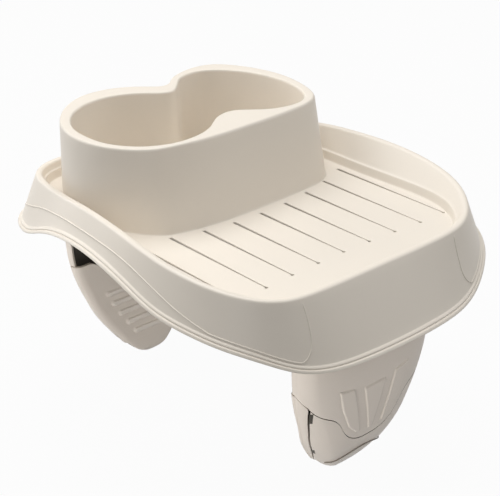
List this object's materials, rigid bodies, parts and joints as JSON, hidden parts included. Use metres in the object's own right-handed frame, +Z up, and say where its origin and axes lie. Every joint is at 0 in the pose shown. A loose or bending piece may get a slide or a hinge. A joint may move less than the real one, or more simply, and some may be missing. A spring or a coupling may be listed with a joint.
{
  "type": "hot tub tray",
  "caption": "Moulded tray with a lobed cup holder and a slotted floor, carried on claws that hook over a tub wall.",
  "frame": {"origin": "centre of the bounding box on X and Y, at the height of the claw tips", "axes": "+Z up, +X from the cup holder towards the open end of the tray, +Y along the cup holder towards its narrower lobe"},
  "size_m": [0.261, 0.2265, 0.1883],
  "materials": {
    "tray_plastic": "fine satin, warm ivory",
    "claw_plastic": "fine satin, warm ivory",
    "pad_plastic": "matt, warm ivory"
  },
  "bodies": {
    "root": {"tray": "tray_plastic", "front_claw_bracket": "claw_plastic", "front_claw_cover": "claw_plastic", "front_grip_pad": "pad_plastic", "rear_claw_bracket": "claw_plastic", "rear_claw_cover": "claw_plastic", "rear_grip_pad": "pad_plastic"}
  },
  "joints": []
}
